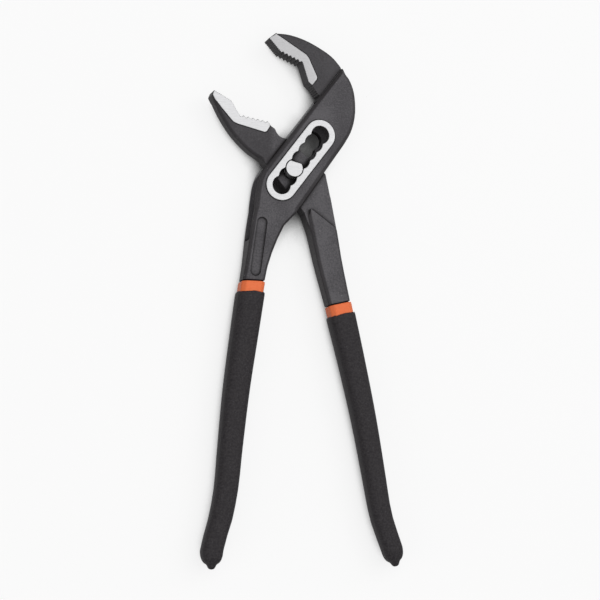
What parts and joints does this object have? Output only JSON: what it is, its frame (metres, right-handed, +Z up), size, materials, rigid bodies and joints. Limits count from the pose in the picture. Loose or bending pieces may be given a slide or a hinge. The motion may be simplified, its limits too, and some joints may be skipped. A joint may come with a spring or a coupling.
{
  "type": "slip-joint water pump pliers",
  "caption": "Box-joint water pump pliers with toothed hook jaws, a scalloped slot with a D pin for stepping the jaw width, and dipped handle grips.",
  "frame": {"origin": "axis of the pivot pin at its rear end, which lies in the plane of the rear ring face that the tool rests on, with the pin in its third scallop", "axes": "+Y along the tool from handles to jaws, +X across it towards the inner lever's handle, +Z up out of the flat side"},
  "size_m": [0.0959, 0.2499, 0.0156],
  "materials": {
    "forged_black": "forged steel with a satin black coating, ground bright on the jaw lands and the slot's ring",
    "bright_steel": "ground",
    "dip_orange": "satin dipped vinyl",
    "dip_black": "matte dipped vinyl with a fine grain"
  },
  "bodies": {
    "outer": {"outer_lever": "forged_black", "left_grip_undercoat": "dip_orange", "left_grip_overcoat": "dip_black"},
    "carriage": {"pin_core": "bright_steel"},
    "inner": {"inner_lever": "forged_black", "pin_front_head": "bright_steel", "pin_rear_head": "bright_steel", "right_grip_undercoat": "dip_orange", "right_grip_overcoat": "dip_black"}
  },
  "joints": [
    {"name": "pin_slide", "type": "slide", "parent": "outer", "child": "carriage", "axis": [0.6018, 0.7986, 0], "range_m": [-0.0104, 0.0208]},
    {"name": "jaw_hinge", "type": "hinge", "parent": "carriage", "child": "inner", "pos_m": [0, 0, 0.0078], "axis": [0, 0, 1], "range_deg": [-18, 67]}
  ]
}
